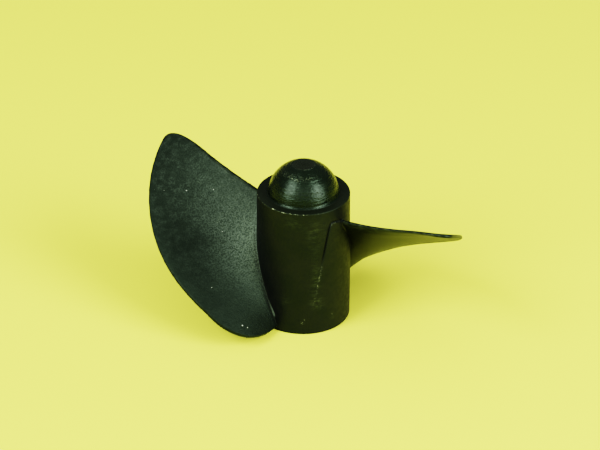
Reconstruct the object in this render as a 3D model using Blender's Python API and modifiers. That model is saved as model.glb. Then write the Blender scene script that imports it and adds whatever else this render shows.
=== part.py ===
"""Two-blade moulded boat propeller with a threaded brass insert, standing on the base of its hub.

Metres, +Z up. The origin is the centre of the hub's base face, on the shaft axis, and +Z points to the
domed nose. Angles run anticlockwise about +Z, seen from above. The hub, nose and blades are one moulding,
so they are joined into one solid; the insert is a second piece, moulded into the base.
"""
import math

import bmesh
import bpy
import numpy as np

MM = 0.001

# Hub and nose
HUB_RADIUS = 6.0 * MM
HUB_BASE_RADIUS = 6.15 * MM
HUB_HEIGHT = 17.9 * MM
NOSE_RADIUS = 4.65 * MM
NOSE_CENTRE_BELOW_LEDGE = 0.4 * MM
NOSE_FOOT_FILLET = 0.5 * MM
GATE_RADIUS = 1.5 * MM
TURNED_STEPS = 72

# Insert in the base: a hexagonal bush with an M4 thread, drawn here with its tapping bore
INSERT_ACROSS_FLATS = 7.0 * MM
INSERT_LENGTH = 12.0 * MM
INSERT_GAP = 0.05 * MM
BORE_RADIUS = 1.65 * MM
BORE_DEPTH = 10.0 * MM
BORE_POINT_HALF_ANGLE = math.radians(59)
BORE_CHAMFER = 0.35 * MM
BORE_STEPS = 32

# Blade offsets at four radii: the angle of its upper edge, then its mid surface's height on the centre
# line, its fall for each radian round the shaft, and the cup that makes it fall faster to either side.
# Between its edges the blade is also dished, deepest near the root and towards the upper edge
BLADE_COUNT = 2
CENTRE_LINE = math.radians(180)
STATION_RADII = np.array([6.0, 12.0, 17.0, 22.0]) * MM
UPPER_EDGE_ANGLES = np.radians([144.7, 142.4, 141.6, 140.1])
CENTRE_HEIGHTS = np.array([10.5, 11.3, 11.1, 10.35]) * MM
FALLS = np.array([9.05, 9.1, 11.5, 17.0]) * MM
CUPS = np.array([1.4, 1.15, 1.35, 5.1]) * MM
DISH_DEPTH = 1.5 * MM
DISH_TOWARDS_UPPER_EDGE = 2.5
DISH_TOWARDS_ROOT = 2.0

# Rest of the outline: the swept outer edge at four angles, and a short lower edge
OUTER_EDGE_ANGLES = np.radians([140.0, 173.0, 205.0, 238.0])
OUTER_EDGE_RADII = np.array([22.6, 20.1, 16.2, 13.15]) * MM
LOWER_EDGE_ANGLE = math.radians(235.1)
LOWER_EDGE_SWEEP = math.radians(0.99) / MM
TIP_ROUND_ALONG_UPPER_EDGE = 7.3 * MM
TIP_ROUND_ALONG_OUTER_EDGE = 2.55 * MM
HEEL_ROUND = 6.1 * MM
BLADE_ROOT_RADIUS = 4.6 * MM

# Blade thickness, and the mesh that follows the blade
EDGE_THICKNESS = 0.45 * MM
EDGE_ROOT_EXTRA = 0.25 * MM
UPPER_FACE_BULGE = 0.425 * MM
LOWER_FACE_BULGE = 0.15 * MM
CHORD_STEPS = 34
SPAN_STEPS = 18
END_CLOSENESS = 0.5


def reset_scene():
    """Remove every object, and make the two collections: the parts and the shapes that build them."""
    for item in list(bpy.data.objects):
        bpy.data.objects.remove(item, do_unlink=True)
    made = []
    for name in ("two_blade_propeller", "construction"):
        collection = bpy.data.collections.new(name)
        bpy.context.scene.collection.children.link(collection)
        made.append(collection)
    return made


def material(name, colour, roughness, metallic):
    """A plain Principled material."""
    made = bpy.data.materials.new(name)
    made.use_nodes = True
    shader = made.node_tree.nodes["Principled BSDF"]
    shader.inputs["Base Color"].default_value = (*colour, 1.0)
    shader.inputs["Roughness"].default_value = roughness
    shader.inputs["Metallic"].default_value = metallic
    return made


def add_object(name, mesh, collection, surface=None):
    """Link a mesh as a named object."""
    item = bpy.data.objects.new(name, mesh)
    collection.objects.link(item)
    if surface is not None:
        mesh.materials.append(surface)
    return item


def turned(name, profile, collection, steps, surface=None):
    """A solid turned about Z from (radius, height) points that run from its top to its bottom."""
    mesh = bpy.data.meshes.new(name)
    points = [(radius, 0.0, height) for radius, height in profile]
    edges = [(i, i + 1) for i in range(len(points) - 1)]
    mesh.from_pydata(points, edges, [])
    item = add_object(name, mesh, collection, surface)
    screw = item.modifiers.new("turn", "SCREW")
    screw.angle = math.tau
    screw.steps = steps
    screw.render_steps = steps
    screw.use_merge_vertices = True
    screw.merge_threshold = 0.000001
    screw.use_normal_calculate = False
    return item


def boolean(item, other, operation):
    """Join or cut an object with a construction shape, which is then hidden."""
    modifier = item.modifiers.new(other.name, "BOOLEAN")
    modifier.operation = operation
    modifier.solver = "EXACT"
    modifier.object = other
    other.hide_render = True
    other.display_type = "WIRE"


def arc(centre_radius, centre_height, size, start, end, count):
    """Points of an arc in the (radius, height) plane, angles from the outward direction."""
    return [
        (centre_radius + size * math.cos(angle), centre_height + size * math.sin(angle))
        for angle in np.linspace(start, end, count)
    ]


def hub_profile():
    """The hub's half section: gate flat, dome, fillet at the dome's foot, ledge, side and base."""
    centre = HUB_HEIGHT - NOSE_CENTRE_BELOW_LEDGE
    gate_angle = math.acos(GATE_RADIUS / NOSE_RADIUS)
    fillet_height = HUB_HEIGHT + NOSE_FOOT_FILLET
    reach = NOSE_RADIUS + NOSE_FOOT_FILLET
    foot_angle = math.asin((fillet_height - centre) / reach)
    fillet_radius = reach * math.cos(foot_angle)
    dome = arc(0.0, centre, NOSE_RADIUS, gate_angle, foot_angle, 14)
    fillet = arc(fillet_radius, fillet_height, NOSE_FOOT_FILLET, math.pi + foot_angle, 1.5 * math.pi, 5)
    return [
        (0.0, dome[0][1]),
        *dome,
        *fillet[1:],
        (HUB_RADIUS, HUB_HEIGHT),
        (HUB_BASE_RADIUS, 0.0),
        (0.0, 0.0),
    ]


def hexagon(name, across_flats, bottom, top, collection, surface=None):
    """An upright hexagonal prism on the axis."""
    mesh = bpy.data.meshes.new(name)
    shape = bmesh.new()
    radius = across_flats / math.sqrt(3)
    bmesh.ops.create_cone(
        shape, cap_ends=True, segments=6, radius1=radius, radius2=radius, depth=top - bottom
    )
    bmesh.ops.translate(shape, vec=(0.0, 0.0, (top + bottom) / 2), verts=shape.verts)
    shape.to_mesh(mesh)
    shape.free()
    return add_object(name, mesh, collection, surface)


def smooth(places, values, place):
    """The cubic through four values, read at a place."""
    return np.polyval(np.polyfit(places, values, 3), place)


def upper_edge(radius):
    """Angle of the blade's upper edge at a radius."""
    return smooth(STATION_RADII, UPPER_EDGE_ANGLES, radius)


def lower_edge(radius):
    """Angle of the blade's lower edge at a radius."""
    return LOWER_EDGE_ANGLE + LOWER_EDGE_SWEEP * (radius - HUB_RADIUS)


def outer_edge(angle):
    """Radius of the blade's swept outer edge at an angle."""
    return smooth(OUTER_EDGE_ANGLES, OUTER_EDGE_RADII, angle)


def corner(edge):
    """Radius where a side edge meets the outer edge."""
    radius = STATION_RADII[1]
    for _ in range(20):
        radius = outer_edge(edge(radius))
    return radius


def rounded(start, middle, end, count):
    """A quadratic curve that rounds a corner."""
    t = np.linspace(0.0, 1.0, count)[:, None]
    return (1 - t) ** 2 * start + 2 * t * (1 - t) * middle + t**2 * end


def spaced(points, count):
    """The same line with points along the developed blade, closer together towards its rounded ends."""
    middle = STATION_RADII.mean()
    step = np.hypot(np.diff(points[:, 0]) * middle, np.diff(points[:, 1]))
    keep = np.r_[True, step > 1e-9]
    points = points[keep]
    length = np.r_[0.0, np.cumsum(step[step > 1e-9])]
    share = np.linspace(0.0, 1.0, count)
    wanted = length[-1] * (share - END_CLOSENESS * np.sin(math.tau * share) / math.tau)
    return np.stack([np.interp(wanted, length, points[:, axis]) for axis in (0, 1)], axis=-1)


def blade_sides():
    """The four sides of the developed blade as (angle, radius) lines: root, outer, upper and lower."""
    tip = corner(upper_edge)
    heel = corner(lower_edge)
    upper_radii = np.linspace(BLADE_ROOT_RADIUS, tip - TIP_ROUND_ALONG_UPPER_EDGE, 40)
    lower_radii = np.linspace(BLADE_ROOT_RADIUS, heel - HEEL_ROUND, 30)
    upper = np.stack([upper_edge(upper_radii), upper_radii], axis=-1)
    lower = np.stack([lower_edge(lower_radii), lower_radii], axis=-1)
    first = upper_edge(tip) + TIP_ROUND_ALONG_OUTER_EDGE / tip
    last = lower_edge(heel) - HEEL_ROUND / heel
    outer_angles = np.linspace(first, last, 80)
    outer = np.stack([outer_angles, outer_edge(outer_angles)], axis=-1)
    tip_round = rounded(upper[-1], np.array([upper_edge(tip), tip]), outer[0], 15)
    heel_round = rounded(outer[-1], np.array([lower_edge(heel), heel]), lower[-1], 21)
    upper = np.vstack([upper, tip_round[:8]])
    outer = np.vstack([tip_round[7:], outer, heel_round[:11]])
    lower = np.vstack([lower, heel_round[:9:-1]])
    root_angles = np.linspace(upper[0, 0], lower[0, 0], CHORD_STEPS + 1)
    root = np.stack([root_angles, np.full_like(root_angles, BLADE_ROOT_RADIUS)], axis=-1)
    return (
        root,
        spaced(outer, CHORD_STEPS + 1),
        spaced(upper, SPAN_STEPS + 1),
        spaced(lower, SPAN_STEPS + 1),
    )


def blade_grid():
    """(angle, radius) of every grid point, filled in between the four sides."""
    root, outer, upper, lower = blade_sides()
    u = np.linspace(0.0, 1.0, CHORD_STEPS + 1)[None, :, None]
    v = np.linspace(0.0, 1.0, SPAN_STEPS + 1)[:, None, None]
    along = (1 - v) * root[None] + v * outer[None]
    across = (1 - u) * upper[:, None] + u * lower[:, None]
    corners = (1 - v) * ((1 - u) * root[0] + u * root[-1]) + v * ((1 - u) * outer[0] + u * outer[-1])
    return along + across - corners


def hump(share, power):
    """A hump over 0 to 1, share * (1 - share)^power, scaled to be 1 at its top, which is at 1 / (1 + power)."""
    inside = np.clip(share, 0.0, 1.0)
    top = 1 / (1 + power)
    return inside * (1 - inside) ** power / (top * (1 - top) ** power)


def dish(angle, radius):
    """How far the blade sinks between its four sides, where it keeps its height."""
    across = (angle - upper_edge(radius)) / (lower_edge(radius) - upper_edge(radius))
    along = (radius - HUB_RADIUS) / (outer_edge(angle) - HUB_RADIUS)
    return DISH_DEPTH * hump(across, DISH_TOWARDS_UPPER_EDGE) * hump(along, DISH_TOWARDS_ROOT)


def mid_height(angle, radius):
    """Height of the blade's mid surface: it falls round the shaft, faster further out and where cupped."""
    turn = angle - CENTRE_LINE
    height = smooth(STATION_RADII, CENTRE_HEIGHTS, radius)
    fall = smooth(STATION_RADII, FALLS, radius)
    cup = smooth(STATION_RADII, CUPS, radius)
    return height - fall * turn - cup * turn**2 - dish(angle, radius)


def blade_faces():
    """Points of the blade's upper and lower faces, offset from its mid surface by half the edge's
    thickness and each face's own bulge."""
    grid = blade_grid()
    angle, radius = grid[..., 0], grid[..., 1]
    middle = np.stack([radius * np.cos(angle), radius * np.sin(angle), mid_height(angle, radius)], axis=-1)
    normal = np.cross(np.gradient(middle, axis=0), np.gradient(middle, axis=1))
    normal /= np.linalg.norm(normal, axis=-1, keepdims=True)
    span = (radius.max() - radius) / (radius.max() - HUB_RADIUS)
    inward = np.clip(span, 0.0, 1.1) ** 2
    u = np.linspace(0.0, 1.0, CHORD_STEPS + 1)[None, :]
    half_edge = (EDGE_THICKNESS + inward * EDGE_ROOT_EXTRA) / 2
    crown = inward * 4 * u * (1 - u)
    upper = middle + normal * (half_edge + crown * UPPER_FACE_BULGE)[..., None]
    lower = middle - normal * (half_edge + crown * LOWER_FACE_BULGE)[..., None]
    return upper, lower


def blade(name, turn, collection):
    """One blade, lofted between its two faces and closed round its edge, turned about the shaft axis."""
    upper, lower = blade_faces()
    rows, columns = upper.shape[:2]
    count = rows * columns
    points = np.concatenate([upper.reshape(-1, 3), lower.reshape(-1, 3)])
    cosine, sine = math.cos(turn), math.sin(turn)
    points = points @ np.array([[cosine, sine, 0], [-sine, cosine, 0], [0, 0, 1]])
    index = np.arange(count).reshape(rows, columns)
    faces = []
    for i in range(rows - 1):
        for j in range(columns - 1):
            a, b, c, d = index[i, j], index[i + 1, j], index[i + 1, j + 1], index[i, j + 1]
            faces.append((a, b, c, d))
            faces.append((a + count, d + count, c + count, b + count))
    border = [*index[0, :-1], *index[:-1, -1], *index[-1, :0:-1], *index[:0:-1, 0]]
    for a, b in zip(border, border[1:] + border[:1]):
        faces.append((a, b, b + count, a + count))
    mesh = bpy.data.meshes.new(name)
    mesh.from_pydata(points.tolist(), [], [[int(i) for i in face] for face in faces])
    shape = bmesh.new()
    shape.from_mesh(mesh)
    bmesh.ops.recalc_face_normals(shape, faces=shape.faces)
    shape.to_mesh(mesh)
    shape.free()
    return add_object(name, mesh, collection)


def bore_profile():
    """The tapping bore with its drill point and entry chamfer, run on below the base for a clean cut."""
    below = 0.5 * MM
    point = BORE_RADIUS / math.tan(BORE_POINT_HALF_ANGLE)
    return [
        (0.0, BORE_DEPTH + point),
        (BORE_RADIUS, BORE_DEPTH),
        (BORE_RADIUS, BORE_CHAMFER),
        (BORE_RADIUS + BORE_CHAMFER + below, -below),
        (0.0, -below),
    ]


parts, construction = reset_scene()
black_nylon = material("black_nylon", (0.014, 0.018, 0.016), 0.45, 0.0)
brass = material("brass", (0.72, 0.52, 0.24), 0.35, 1.0)

hub = turned("hub_and_blades", hub_profile(), parts, TURNED_STEPS, black_nylon)
for number in range(BLADE_COUNT):
    boolean(hub, blade(f"blade_{number + 1}", math.tau * number / BLADE_COUNT, construction), "UNION")
pocket = hexagon(
    "insert_pocket",
    INSERT_ACROSS_FLATS + 2 * INSERT_GAP,
    -1.0 * MM,
    INSERT_LENGTH + INSERT_GAP,
    construction,
)
boolean(hub, pocket, "DIFFERENCE")

insert = hexagon("threaded_insert", INSERT_ACROSS_FLATS, 0.0, INSERT_LENGTH, parts, brass)
boolean(insert, turned("thread_bore", bore_profile(), construction, BORE_STEPS), "DIFFERENCE")
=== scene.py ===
"""Two-blade moulded boat propeller, standing on its hub on a pale sheet.

The sections follow the object as it is made: the blades and the hub that are one moulding, the brass
insert in its base, and then the sheet, the lights and the camera. Everything is in metres, +Z up, with
the shaft axis on Z. Angles run anticlockwise about Z, seen from above.
"""

import math

import bmesh
import bpy
import numpy as np
from mathutils import Matrix
from mathutils.geometry import delaunay_2d_cdt


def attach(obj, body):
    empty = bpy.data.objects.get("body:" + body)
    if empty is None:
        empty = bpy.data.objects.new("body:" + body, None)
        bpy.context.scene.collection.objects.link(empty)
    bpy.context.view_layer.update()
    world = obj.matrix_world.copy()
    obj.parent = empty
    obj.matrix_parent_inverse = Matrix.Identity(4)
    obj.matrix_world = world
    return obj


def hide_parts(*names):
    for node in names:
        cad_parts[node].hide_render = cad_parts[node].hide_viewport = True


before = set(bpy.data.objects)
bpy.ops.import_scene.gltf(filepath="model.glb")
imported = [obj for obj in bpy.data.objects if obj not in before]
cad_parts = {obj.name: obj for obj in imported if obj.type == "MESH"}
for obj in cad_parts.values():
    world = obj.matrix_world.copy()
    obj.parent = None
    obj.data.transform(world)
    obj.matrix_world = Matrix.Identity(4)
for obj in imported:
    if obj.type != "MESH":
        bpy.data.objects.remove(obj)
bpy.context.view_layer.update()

# Blades: swept, dished plates that run out of the hub, moulded in glass-filled black nylon.
# Each is a little thicker at its root, and a thin line of flash runs round its rounded edge
# where the two halves of the mould met.
MM = 0.001
BLADE_COUNT = 2
CENTRE_LINE = math.pi
STATION_RADII = np.array([6.0, 12.0, 17.0, 22.0]) * MM
UPPER_EDGE_ANGLES = np.radians([144.7, 142.4, 141.6, 140.1])
CENTRE_HEIGHTS = np.array([10.5, 11.3, 11.1, 10.35]) * MM
FALLS = np.array([9.05, 9.1, 11.5, 17.0]) * MM
CUPS = np.array([1.4, 1.15, 1.35, 5.1]) * MM
DISH_DEPTH = 1.5 * MM
DISH_TOWARDS_UPPER_EDGE = 2.5
DISH_TOWARDS_ROOT = 2.0
OUTER_EDGE_ANGLES = np.radians([140.0, 173.0, 205.0, 238.0])
OUTER_EDGE_RADII = np.array([22.6, 20.1, 16.2, 13.15]) * MM
LOWER_EDGE_ANGLE = math.radians(235.1)
LOWER_EDGE_SWEEP = math.radians(0.99) / MM
TIP_ROUND_UPPER = 7.3 * MM
TIP_ROUND_OUTER = 2.55 * MM
HEEL_ROUND = 6.1 * MM
END_CLOSENESS = 0.5
EDGE_THICKNESS = 0.45 * MM
EDGE_ROOT_EXTRA = 0.25 * MM
UPPER_FACE_BULGE = 0.425 * MM
LOWER_FACE_BULGE = 0.15 * MM
EDGE_REACH = 0.15 * MM
UPPER_EDGE_REACH = 0.4 * MM
UPPER_EDGE_REACH_BELOW = 1.1 * MM
EDGE_BLEND = 3.0 * MM
EDGE_FLASH = 0.03 * MM
EDGE_FLASH_HALF_WIDTH = 0.05 * MM
FLASH_WAVES = ((3.1, 0.0, 1.0), (7.7, 1.0, 1.0), (17.3, 2.0, 0.8))
CHORD_POINTS = 97
SPAN_POINTS = 61
BAND_POINTS = 13
UPPER_BAND_START = 2 * CHORD_POINTS + BAND_POINTS
UPPER_SAMPLES = 200
LOWER_SAMPLES = 120
OUTER_SAMPLES = 400
ROUND_SAMPLES = 81
CORNER_STEPS = 20
EDGE_WEAR = 0.14
EDGE_SCUFF = 0.7
EDGE_MARK_SPREAD = 1.5
# Painted sheen: a pale colour painted on the blades' upper faces near their roots, where the light shines on
# them.
FACE_PAINTED_SHEEN = 0.31
# Painted highlight: the bevel at the lower end of each upper face is painted pale where it catches the light.
BEVEL_PAINTED_HIGHLIGHT = 0.28
PAINTED_SHEEN_FIRST_ROW = 2
PAINTED_SHEEN_FOOT = 6.5 * MM
PAINTED_SHEEN_WIDTH = 4.6 * MM
PAINTED_SHEEN_WIDENING = 13.0 * MM
PAINTED_SHEEN_MIDDLE = math.radians(-1)
PAINTED_SHEEN_SPREAD = math.radians(30)
DUST_SPECKS = np.array(
    [
        [-7.73, -8.95, 3.13, 0.12],
        [-7.09, -8.83, 2.75, 0.10],
        [-15.33, 5.72, 14.66, 0.10],
        [-11.79, 5.72, 14.83, 0.08],
    ]
) * MM
HUB_TOP_RADIUS = 6.0 * MM


def joined(*parts):
    """Arrays side by side along a new last axis, as the x, y and z of points are."""
    return np.stack(parts, axis=-1)


def cubic(places, values, place):
    """The cubic through four values, read at a place."""
    return np.polyval(np.polyfit(places, values, 3), place)


def upper_edge(radius):
    """Angle of a blade's upper edge: a cubic in radius."""
    return cubic(STATION_RADII, UPPER_EDGE_ANGLES, radius)


def lower_edge(radius):
    """Angle of a blade's lower edge: a line in radius."""
    return LOWER_EDGE_ANGLE + LOWER_EDGE_SWEEP * (radius - HUB_TOP_RADIUS)


def outer_edge(angle):
    """Radius of a blade's outer edge: a cubic in angle."""
    return cubic(OUTER_EDGE_ANGLES, OUTER_EDGE_RADII, angle)


def corner(edge):
    """Radius where a side edge meets the outer edge, by repeated substitution."""
    radius = STATION_RADII[1]
    for _ in range(CORNER_STEPS):
        radius = outer_edge(edge(radius))
    return radius


def rounded(start, middle, end, count):
    """Quadratic curve from start to end that heads for middle: (1-t)^2 s + 2t(1-t) m + t^2 e."""
    t = np.linspace(0.0, 1.0, count)[:, None]
    return (1 - t) ** 2 * start + 2 * t * (1 - t) * middle + t**2 * end


def read_along(points, lengths, wanted):
    """Points of a line of known lengths, read at the lengths that are wanted."""
    return joined(*(np.interp(wanted, lengths, axis) for axis in points.T))


def spaced(points, count):
    """The same line with points by arc length, closer together towards both of its ends."""
    step = np.hypot(np.diff(points[:, 0]) * STATION_RADII.mean(), np.diff(points[:, 1]))
    kept = points[np.r_[True, step > 1e-9]]
    length = np.r_[0.0, np.cumsum(step[step > 1e-9])]
    share = np.linspace(0.0, 1.0, count)
    wanted = length[-1] * (share - END_CLOSENESS * np.sin(math.tau * share) / math.tau)
    return read_along(kept, length, wanted)


def blade_grid(root_radius):
    """(angle, radius) on a grid: a Coons patch between the root, outer, upper and lower sides."""
    tip = corner(upper_edge)
    heel = corner(lower_edge)
    upper_radii = np.linspace(root_radius, tip - TIP_ROUND_UPPER, UPPER_SAMPLES)
    lower_radii = np.linspace(root_radius, heel - HEEL_ROUND, LOWER_SAMPLES)
    upper = joined(upper_edge(upper_radii), upper_radii)
    lower = joined(lower_edge(lower_radii), lower_radii)
    outer_start = upper_edge(tip) + TIP_ROUND_OUTER / tip
    outer_end = lower_edge(heel) - HEEL_ROUND / heel
    outer_angles = np.linspace(outer_start, outer_end, OUTER_SAMPLES)
    outer = joined(outer_angles, outer_edge(outer_angles))
    tip_round = rounded(upper[-1], np.array([upper_edge(tip), tip]), outer[0], ROUND_SAMPLES)
    heel_round = rounded(outer[-1], np.array([lower_edge(heel), heel]), lower[-1], ROUND_SAMPLES)
    half = ROUND_SAMPLES // 2
    root_angles = np.linspace(upper[0, 0], lower[0, 0], CHORD_POINTS)
    root = joined(root_angles, np.full_like(root_angles, root_radius))
    outer = spaced(np.vstack([tip_round[half:], outer, heel_round[: half + 1]]), CHORD_POINTS)
    upper = spaced(np.vstack([upper, tip_round[: half + 1]]), SPAN_POINTS)
    lower = spaced(np.vstack([lower, heel_round[: half - 1 : -1]]), SPAN_POINTS)
    u = np.linspace(0.0, 1.0, CHORD_POINTS)[None, :, None]
    v = np.linspace(0.0, 1.0, SPAN_POINTS)[:, None, None]
    ends = (1 - v) * ((1 - u) * root[0] + u * root[-1]) + v * ((1 - u) * outer[0] + u * outer[-1])
    return (1 - v) * root + v * outer + (1 - u) * upper[:, None] + u * lower[:, None] - ends


def hump(share, power):
    """A hump over 0 to 1: share * (1 - share)^power, scaled to be 1 at its top, at 1 / (1 + power)."""
    inside = np.clip(share, 0.0, 1.0)
    top = 1 / (1 + power)
    return inside * (1 - inside) ** power / (top * (1 - top) ** power)


def dish(angle, radius):
    """How far the blade sinks between its four sides, where it keeps its height."""
    across = (angle - upper_edge(radius)) / (lower_edge(radius) - upper_edge(radius))
    along = (radius - HUB_TOP_RADIUS) / (outer_edge(angle) - HUB_TOP_RADIUS)
    return DISH_DEPTH * hump(across, DISH_TOWARDS_UPPER_EDGE) * hump(along, DISH_TOWARDS_ROOT)


def mid_height(angle, radius):
    """Height of the blade's mid surface: centre - fall * turn - cup * turn^2, each a cubic in radius,
    less the dish."""
    turn = angle - CENTRE_LINE
    centre = cubic(STATION_RADII, CENTRE_HEIGHTS, radius)
    fall = cubic(STATION_RADII, FALLS, radius)
    cup = cubic(STATION_RADII, CUPS, radius)
    return centre - dish(angle, radius) - fall * turn - cup * turn**2


def unit(vectors):
    """Vectors scaled to length one."""
    return vectors / np.linalg.norm(vectors, axis=-1, keepdims=True)


def edge_profile(half_thickness, reaches, flash):
    """(outward, across) points of a blade's edge from its upper to its lower face, both left out:
    a quarter of an ellipse, the low ridge of flash and a quarter of another."""
    a = np.linspace(0.0, math.pi / 2, BAND_POINTS // 2 + 1)[1:]
    zero = np.zeros_like(half_thickness)[..., None]
    drop = half_thickness[..., None] - EDGE_FLASH_HALF_WIDTH
    above, below = (reach[..., None] * (np.sin(a) - 1) for reach in reaches)
    across = EDGE_FLASH_HALF_WIDTH + drop * np.cos(a)
    outward = np.concatenate([above, flash[..., None], below[..., ::-1]], axis=-1)
    return outward, np.concatenate([across, zero, -across[..., ::-1]], axis=-1)


def flash_height(points):
    """Ragged height of the flash along an edge: flash * (0.6 + 0.5 * waves), kept at or above zero.
    The waves are sines of the length in millimetres, each with its rate, start and strength."""
    length = np.r_[0.0, np.cumsum(np.linalg.norm(np.diff(points, axis=0), axis=-1))] / MM
    waves = sum(strength * np.sin(rate * length + start) for rate, start, strength in FLASH_WAVES)
    return EDGE_FLASH * (0.6 + 0.5 * np.clip(waves, -1.2, 2.5))


def edge_points(border, outward, normal, half_thickness, reaches):
    """Points of the edge along one side of the blade: (point along the side, point across the edge)."""
    out, across = edge_profile(half_thickness, reaches, flash_height(border))
    return border[:, None] + out[..., None] * outward[:, None] + across[..., None] * normal[:, None]


def drawn_in(middle, sides, reaches):
    """The mid surface drawn in from its upper, lower and outer sides, each by a reach of its own:
    reach * (1 - distance / blend)^2. Near a corner the nearer side counts most."""
    pull = np.zeros_like(middle)
    total = np.full(middle.shape[:2] + (1,), 1e-12)
    strongest = np.zeros_like(total)
    for (border, direction), reach in zip(sides, reaches):
        away = np.linalg.norm(middle - border, axis=-1, keepdims=True)
        share = np.clip(1 - away / EDGE_BLEND, 0.0, 1.0) ** 2
        pull += share**8 * direction * reach.reshape(direction.shape[:2] + (1,))
        total += share**8
        strongest = np.maximum(strongest, share)
    return middle - strongest * pull / total


def blade_loops(root_radius):
    """The blade as closed loops from its root to its outer edge, and the grid of its outer edge.
    A loop runs along the upper face, round the lower edge, back along the lower face and round
    the upper edge, whose deeper rounding fades towards the tip."""
    grid = blade_grid(root_radius)
    angle, radius = grid[..., 0], grid[..., 1]
    middle = joined(radius * np.cos(angle), radius * np.sin(angle), mid_height(angle, radius))
    normal = unit(np.cross(np.gradient(middle, axis=0), np.gradient(middle, axis=1)))
    normal *= np.sign(normal[..., 2:])
    inward = np.clip((radius.max() - radius) / (radius.max() - HUB_TOP_RADIUS), 0.0, 1.0) ** 2
    u = np.linspace(0.0, 1.0, CHORD_POINTS)[None, :]
    crown = 4 * u * (1 - u)
    half = (EDGE_THICKNESS + inward * EDGE_ROOT_EXTRA) / 2

    def outward(line, inner, line_normal):
        """Direction out of the blade along one side: square to the side and to the face."""
        across = unit(np.cross(np.gradient(line, axis=0), line_normal))
        return across * np.sign(np.sum(across * (line - inner), axis=-1, keepdims=True))

    out_upper = outward(middle[:, 0], middle[:, 2], normal[:, 0])
    out_lower = outward(middle[:, -1], middle[:, -3], normal[:, -1])
    out_outer = outward(middle[-1], middle[-3], normal[-1])
    out_upper[-1] = out_outer[0] = unit(out_upper[-1] + out_outer[0])
    out_lower[-1] = out_outer[-1] = unit(out_lower[-1] + out_outer[-1])
    sides = (
        (middle[:, :1], out_upper[:, None]),
        (middle[:, -1:], out_lower[:, None]),
        (middle[-1:], out_outer[None]),
    )
    fade = 1 - np.linspace(0.0, 1.0, SPAN_POINTS) ** 4
    plain = np.full(SPAN_POINTS, EDGE_REACH)
    outer = np.full(CHORD_POINTS, EDGE_REACH)
    above = plain + (UPPER_EDGE_REACH - EDGE_REACH) * fade
    below = plain + (UPPER_EDGE_REACH_BELOW - EDGE_REACH) * fade
    rise = (half + inward * crown * UPPER_FACE_BULGE)[..., None]
    drop = (half + inward * crown * LOWER_FACE_BULGE)[..., None]
    upper_face = drawn_in(middle, sides, (above, plain, outer)) + rise * normal
    lower_face = drawn_in(middle, sides, (below, plain, outer)) - drop * normal
    upper_band = edge_points(middle[:, 0], out_upper, normal[:, 0], half[:, 0], (above, below))
    lower_band = edge_points(middle[:, -1], out_lower, normal[:, -1], half[:, -1], (plain, plain))
    outer_band = edge_points(middle[-1], out_outer, normal[-1], half[-1], (outer, outer))
    outer_band[0] = upper_band[-1]
    outer_band[-1] = lower_band[-1]
    loops = np.concatenate([upper_face, lower_band, lower_face[:, ::-1], upper_band[:, ::-1]], axis=1)
    cap = np.concatenate([upper_face[-1][:, None], outer_band, lower_face[-1][:, None]], axis=1)
    return loops, cap


def root_painted_sheen(points):
    """How strong the painted sheen is on a blade's upper face, from the turn t off the blade's centre line
    and the radius r: exp(-((t - middle) / spread)^2) * exp(-((r - foot) / width)^2). The width grows
    towards the upper edge."""
    turn = np.arctan2(points[..., 1], points[..., 0]) - CENTRE_LINE
    turn = np.mod(turn + math.pi / 2, math.pi) - math.pi / 2
    reach = np.hypot(points[..., 0], points[..., 1]) - PAINTED_SHEEN_FOOT
    width = PAINTED_SHEEN_WIDTH + PAINTED_SHEEN_WIDENING * np.maximum(-turn, 0.0)
    return np.exp(-(((turn - PAINTED_SHEEN_MIDDLE) / PAINTED_SHEEN_SPREAD) ** 2)) * np.exp(-((reach / width) ** 2))


def edge_mark(column):
    """How near a column of a blade's edge is to the flash, which is the edge's middle column:
    exp(-(columns off / spread)^2)."""
    return np.exp(-(((column - BAND_POINTS // 2) / EDGE_MARK_SPREAD) ** 2))


# Hub: a plain barrel with a flat ledge on top, moulded in one with the blades. The upper half of the
# mould drew its sides in towards the top. The lower half left a band under each blade that stands a
# little proud, with a step at the parting line, which drops from the blade's upper root to the base.
HUB_BASE_RADIUS = 6.15 * MM
MEAN_HUB_RADIUS = (HUB_TOP_RADIUS + HUB_BASE_RADIUS) / 2
HUB_HEIGHT = 17.9 * MM
ROOT_RISE = 0.22 * MM
ROOT_FILLET = 0.09 * MM
LOWER_FACE_FILLET = 0.15 * MM
LOWER_FILLET_SHARES = (0.0, 0.0, 0.3, 1.0, 0.0)
ROOT_FILLET_STEPS = 7
ROOT_CLEARANCE = 0.1 * MM
BEVEL_WIDTH = 0.26 * MM
BEVEL_PLACES = (0.80, 0.90, 0.925, 0.945)
COLUMNS = 216
BARREL_ROWS = 104
SEAM_ANGLE = math.radians(100)
BASE_ROUND = 0.15 * MM
RIM_ROUND = 0.1 * MM
STEP_HALF_WIDTH = 0.05 * MM
PARTING_ANGLES = np.array([276.0, 282.4, 288.5, 293.3, 297.3, 300.6, 303.8, 306.6, 309.0, 316.0, 325.5])
PARTING_HEIGHTS = np.array([0.0, 4.4, 7.5, 10.2, 12.0, 13.8, 15.3, 16.0, 16.05, 15.9, 15.6])
PARTING_TOP = 16.3 * MM
PARTING_FLASH = 0.012 * MM
PARTING_GROOVE = 0.12 * MM
RIDGE_SPREAD = 1.4
GROOVE_PLACE = -1.7
GROOVE_SPREAD = 1.5
FLASH_HEIGHTS = np.array([3.5, 7.5, 8.5, 11.0]) * MM
GROOVE_HEIGHTS = np.array([10.0, 12.0]) * MM
SHOULDER_HEIGHTS = np.array([15.6, 15.9]) * MM
FLASH_WEAR = 0.22
SHOULDER_WEAR = 0.15
CURVE_POINTS = 120
SIDE_POINTS = 60
SIDE_START = 4
LINE_POINTS = 110
LINE_OFFSETS = (-1.0, -0.3, 0.4, 1.6, 2.8, 4.2)
LINE_ABOVE_BASE = 0.05 * MM
LINE_FROM_BLADES = 0.06 * MM
BATCH = 2000
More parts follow.
